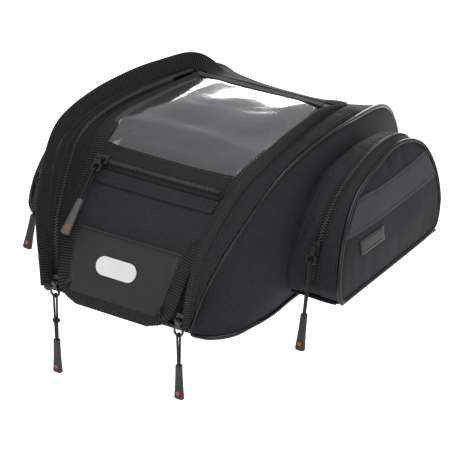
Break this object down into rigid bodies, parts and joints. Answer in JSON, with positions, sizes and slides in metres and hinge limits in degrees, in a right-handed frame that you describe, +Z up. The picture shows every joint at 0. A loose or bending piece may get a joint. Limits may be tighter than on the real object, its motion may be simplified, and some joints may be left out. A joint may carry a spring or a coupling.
{
  "type": "tank bag",
  "caption": "Soft domed motorcycle tank bag with a zipped lid, a clear map window, side pockets that fold open and cord pulls on its zips.",
  "frame": {"origin": "centre of the base's underside, where the bag rests on the fuel tank", "axes": "+Z up away from the tank, +Y from the bag's front tongue towards its rear wall (the long way), +X to the right-hand pocket"},
  "size_m": [0.3232, 0.3459, 0.2191],
  "materials": {
    "body_nylon": "woven",
    "grosgrain": "ribbed",
    "zip_tape": "woven",
    "piping": "gloss",
    "pale_strip": "woven",
    "black_metal": "semi-gloss",
    "cord": "braided",
    "pull_rubber": "matte",
    "base_rubber": "matte",
    "magnet": "satin",
    "tag_rubber": "satin",
    "lid_ripstop": "ribbed",
    "window_backing": "woven",
    "smooth_trim": "smooth",
    "badge": "gloss",
    "clear_vinyl": "gloss"
  },
  "bodies": {
    "bag": {"base_panel": "base_rubber", "base_magnets": "magnet", "side_panel_right": "body_nylon", "side_panel_left": "body_nylon", "gusset_right": "body_nylon", "gusset_left": "body_nylon", "front_wall": "body_nylon", "rear_wall": "body_nylon", "body_piping_right": "piping", "body_piping_left": "piping", "rain_flap_right": "grosgrain", "rain_flap_left": "grosgrain", "rain_flap_rear": "grosgrain", "main_zip_right": "zip_tape", "main_zip_left": "zip_tape", "hinge_tape": "zip_tape", "pocket_gusset_right": "body_nylon", "pocket_gusset_left": "body_nylon", "pocket_floor_right": "body_nylon", "pocket_floor_left": "body_nylon", "pocket_zip_right": "zip_tape", "pocket_zip_left": "zip_tape"},
    "lid": {"lid_panel": "lid_ripstop", "lid_backing": "window_backing", "lid_trim": "smooth_trim", "lid_badge": "badge", "lid_binding": "grosgrain", "lid_band": "lid_ripstop", "map_window": "clear_vinyl", "map_zip": "zip_tape"},
    "pocket_door_right": {"pocket_edge_right": "body_nylon", "pocket_face_right": "body_nylon", "pocket_piping_right": "piping", "pocket_strip_right": "pale_strip", "pocket_tag": "tag_rubber"},
    "pocket_door_left": {"pocket_edge_left": "body_nylon", "pocket_face_left": "body_nylon", "pocket_piping_left": "piping", "pocket_strip_left": "pale_strip"},
    "zip_front_right": {"slider_front_right": "black_metal"},
    "puller_front_right": {"ring_front_right": "black_metal"},
    "pull_front_right": {"cord_front_right": "cord", "tab_front_right": "pull_rubber"},
    "zip_front_left": {"slider_front_left": "black_metal"},
    "puller_front_left": {"ring_front_left": "black_metal"},
    "pull_front_left": {"cord_front_left": "cord", "tab_front_left": "pull_rubber"},
    "zip_pocket_right": {"slider_pocket_right": "black_metal"},
    "puller_pocket_right": {"ring_pocket_right": "black_metal"},
    "pull_pocket_right": {"cord_pocket_right": "cord", "tab_pocket_right": "pull_rubber"},
    "zip_pocket_left": {"slider_pocket_left": "black_metal"},
    "puller_pocket_left": {"ring_pocket_left": "black_metal"},
    "pull_pocket_left": {"cord_pocket_left": "cord", "tab_pocket_left": "pull_rubber"},
    "zip_map": {"slider_map": "black_metal"},
    "puller_map": {"ring_map": "black_metal"},
    "pull_map": {"cord_map": "cord", "tab_map": "pull_rubber"}
  },
  "joints": [
    {"name": "lid_hinge", "type": "hinge", "parent": "bag", "child": "lid", "pos_m": [0, 0.064, 0.1195], "axis": [-1, 0, 0], "range_deg": [0, 110]},
    {"name": "pocket_door_right_fold", "type": "hinge", "parent": "bag", "child": "pocket_door_right", "pos_m": [0.1585, 0.01, 0.015], "axis": [0, 1, 0], "range_deg": [0, 75]},
    {"name": "pocket_door_left_fold", "type": "hinge", "parent": "bag", "child": "pocket_door_left", "pos_m": [-0.1585, 0.01, 0.015], "axis": [0, -1, 0], "range_deg": [0, 75]},
    {"name": "zip_front_right_run", "type": "slide", "parent": "bag", "child": "zip_front_right", "axis": [0.1623, 0.1139, 0.9802], "range_m": [0, 0.016]},
    {"name": "zip_front_left_run", "type": "slide", "parent": "bag", "child": "zip_front_left", "axis": [-0.1623, 0.1139, 0.9802], "range_m": [0, 0.016]},
    {"name": "zip_pocket_right_run", "type": "hinge", "parent": "bag", "child": "zip_pocket_right", "pos_m": [0.133, 0.014, 0.018], "axis": [-1, 0, 0], "range_deg": [0, 50]},
    {"name": "zip_pocket_left_run", "type": "hinge", "parent": "bag", "child": "zip_pocket_left", "pos_m": [-0.1535, 0.014, 0.018], "axis": [-0.9781, 0, 0.2079], "range_deg": [0, 50]},
    {"name": "zip_map_run", "type": "slide", "parent": "lid", "child": "zip_map", "axis": [1, 0, 0], "range_m": [0, 0.115]},
    {"name": "puller_front_right_lift", "type": "hinge", "parent": "zip_front_right", "child": "puller_front_right", "pos_m": [0.06273, -0.1692, 0.01378], "axis": [-1, 0, 0], "range_deg": [0, 120]},
    {"name": "pull_front_right_swing", "type": "hinge", "parent": "puller_front_right", "child": "pull_front_right", "pos_m": [0.06273, -0.1692, 0.00478], "axis": [0, 1, 0], "range_deg": [-50, 50]},
    {"name": "puller_front_left_lift", "type": "hinge", "parent": "zip_front_left", "child": "puller_front_left", "pos_m": [-0.06273, -0.1692, 0.01378], "axis": [-1, 0, 0], "range_deg": [0, 120]},
    {"name": "pull_front_left_swing", "type": "hinge", "parent": "puller_front_left", "child": "pull_front_left", "pos_m": [-0.06273, -0.1692, 0.00478], "axis": [0, 1, 0], "range_deg": [-50, 50]},
    {"name": "puller_pocket_right_lift", "type": "hinge", "parent": "zip_pocket_right", "child": "puller_pocket_right", "pos_m": [0.133, -0.07427, 0.05916], "axis": [-1, 0, 0], "range_deg": [0, 120]},
    {"name": "pull_pocket_right_swing", "type": "hinge", "parent": "puller_pocket_right", "child": "pull_pocket_right", "pos_m": [0.133, -0.07765, 0.05082], "axis": [0, 0.9272, -0.3746], "range_deg": [-45, 20]},
    {"name": "puller_pocket_left_lift", "type": "hinge", "parent": "zip_pocket_left", "child": "puller_pocket_left", "pos_m": [-0.1455, -0.07427, 0.05832], "axis": [-1, 0, 0], "range_deg": [0, 120]},
    {"name": "pull_pocket_left_swing", "type": "hinge", "parent": "puller_pocket_left", "child": "pull_pocket_left", "pos_m": [-0.1455, -0.07765, 0.04998], "axis": [0, 0.9272, -0.3746], "range_deg": [0, 60]},
    {"name": "puller_map_lift", "type": "hinge", "parent": "zip_map", "child": "puller_map", "pos_m": [-0.0575, -0.10678, 0.10651], "axis": [-1, 0, 0], "range_deg": [0, 150]},
    {"name": "pull_map_swing", "type": "hinge", "parent": "puller_map", "child": "pull_map", "pos_m": [-0.0575, -0.11342, 0.10042], "axis": [0, 0.6757, -0.7371], "range_deg": [-40, 5]}
  ]
}
